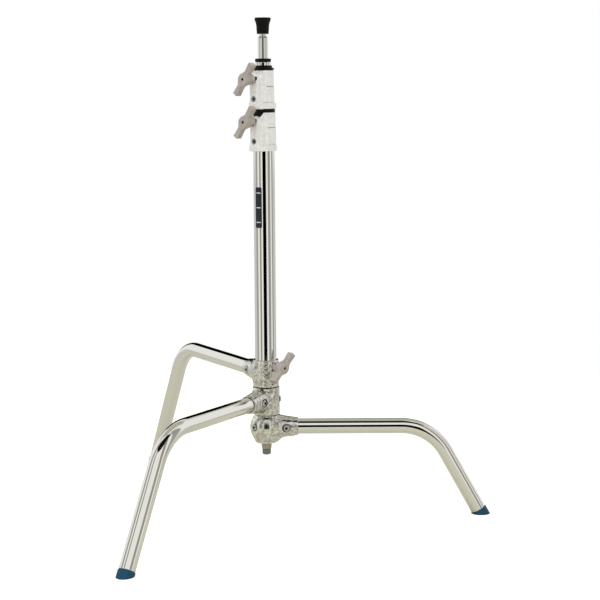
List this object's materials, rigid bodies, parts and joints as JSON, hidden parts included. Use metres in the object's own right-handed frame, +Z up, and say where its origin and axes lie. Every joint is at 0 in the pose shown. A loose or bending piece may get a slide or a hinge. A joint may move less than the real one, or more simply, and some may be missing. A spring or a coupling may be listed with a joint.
{
  "type": "c stand",
  "caption": "Chrome light stand on a folding base of staggered bent legs, with a lift-out column, telescopic risers, T-handle clamps and a rubber-capped spigot.",
  "frame": {"origin": "on the floor, at the middle of the stand's bounding box with the legs open; the column's axis is at X -72.5 mm, Y -24.4 mm", "axes": "+Z up along the column; +X along the bottom leg; the top leg runs to the back left and the middle leg to the front left"},
  "size_m": [0.5899, 0.7518, 0.809],
  "materials": {
    "chrome_steel": "bright polished chrome plate on steel tube",
    "cast_zinc": "satin chrome plate on a zinc casting, fine cast texture",
    "handle_zinc": "matte warm grey tumbled zinc die casting",
    "bolt_steel": "zinc-plated steel, semi-dull",
    "brass": "yellow-passivated, dull",
    "black_nylon": "moulded nylon, low sheen",
    "black_rubber": "matte rubber",
    "foot_plastic": "moulded teal-blue plastic, low sheen",
    "label_film": "printed film, satin"
  },
  "bodies": {
    "base": {"top_hub": "cast_zinc", "top_leg": "chrome_steel", "top_foot": "foot_plastic", "top_leg_bolt": "bolt_steel", "top_leg_nut": "bolt_steel", "base_bolt": "bolt_steel", "base_nut": "brass", "hub_sleeve": "bolt_steel", "hub_spring": "bolt_steel", "spring_washer": "bolt_steel", "upper_thrust_washer": "black_nylon", "lower_thrust_washer": "black_nylon", "base_brake_pad": "black_nylon"},
    "base_key": {"base_handle": "handle_zinc", "base_handle_stud": "bolt_steel", "base_handle_pin": "bolt_steel"},
    "middle_leg": {"middle_hub": "cast_zinc", "middle_leg": "chrome_steel", "middle_foot": "foot_plastic", "middle_leg_bolt": "bolt_steel", "middle_leg_nut": "bolt_steel", "middle_hub_screw": "bolt_steel"},
    "bottom_leg": {"bottom_hub": "cast_zinc", "bottom_leg": "chrome_steel", "bottom_foot": "foot_plastic", "bottom_leg_bolt": "bolt_steel", "bottom_leg_nut": "bolt_steel", "bottom_hub_screw": "bolt_steel"},
    "column": {"column_tube": "chrome_steel", "column_plug": "black_nylon", "column_collar": "cast_zinc", "column_bushing": "black_nylon", "column_collar_screw": "bolt_steel", "column_brake_pad": "black_nylon", "column_label": "label_film"},
    "column_key": {"lower_handle": "handle_zinc", "lower_handle_stud": "bolt_steel", "lower_handle_pin": "bolt_steel"},
    "riser_1": {"riser_1_tube": "chrome_steel", "riser_1_guide": "black_nylon", "riser_1_collar": "cast_zinc", "riser_1_bushing": "black_nylon", "riser_1_collar_screw": "bolt_steel", "riser_1_brake_pad": "black_nylon"},
    "riser_1_key": {"upper_handle": "handle_zinc", "upper_handle_stud": "bolt_steel", "upper_handle_pin": "bolt_steel"},
    "riser_2": {"riser_2_tube": "chrome_steel", "riser_2_guide": "black_nylon", "spigot": "chrome_steel", "spigot_seat_ring": "black_rubber"},
    "cap": {"spigot_cap": "black_rubber"}
  },
  "joints": [
    {"name": "middle_leg_swing", "type": "hinge", "parent": "base", "child": "middle_leg", "pos_m": [-0.0725, -0.0244, 0.1873], "axis": [0, 0, 1], "range_deg": [-120, 0]},
    {"name": "bottom_leg_swing", "type": "hinge", "parent": "base", "child": "bottom_leg", "pos_m": [-0.0725, -0.0244, 0.143], "axis": [0, 0, 1], "range_deg": [0, 120]},
    {"name": "base_handle_turn", "type": "hinge", "parent": "base", "child": "base_key", "pos_m": [-0.04895, -0.05056, 0.25], "axis": [0.6691, -0.7431, 0], "range_deg": [0, 360]},
    {"name": "column_lift", "type": "slide", "parent": "base", "child": "column", "axis": [0, 0, 1], "range_m": [0, 0.045]},
    {"name": "lower_handle_turn", "type": "hinge", "parent": "column", "child": "column_key", "pos_m": [-0.09853, -0.05543, 0.645], "axis": [-0.6428, -0.766, 0], "range_deg": [0, 360]},
    {"name": "riser_1_slide", "type": "slide", "parent": "column", "child": "riser_1", "axis": [0, 0, 1], "range_m": [0, 0.375]},
    {"name": "upper_handle_turn", "type": "hinge", "parent": "riser_1", "child": "riser_1_key", "pos_m": [-0.09853, -0.05543, 0.712], "axis": [-0.6428, -0.766, 0], "range_deg": [0, 360]},
    {"name": "riser_2_slide", "type": "slide", "parent": "riser_1", "child": "riser_2", "axis": [0, 0, 1], "range_m": [0, 0.375]},
    {"name": "cap_pull", "type": "slide", "parent": "riser_2", "child": "cap", "axis": [0, 0, 1], "range_m": [0, 0.03]}
  ]
}
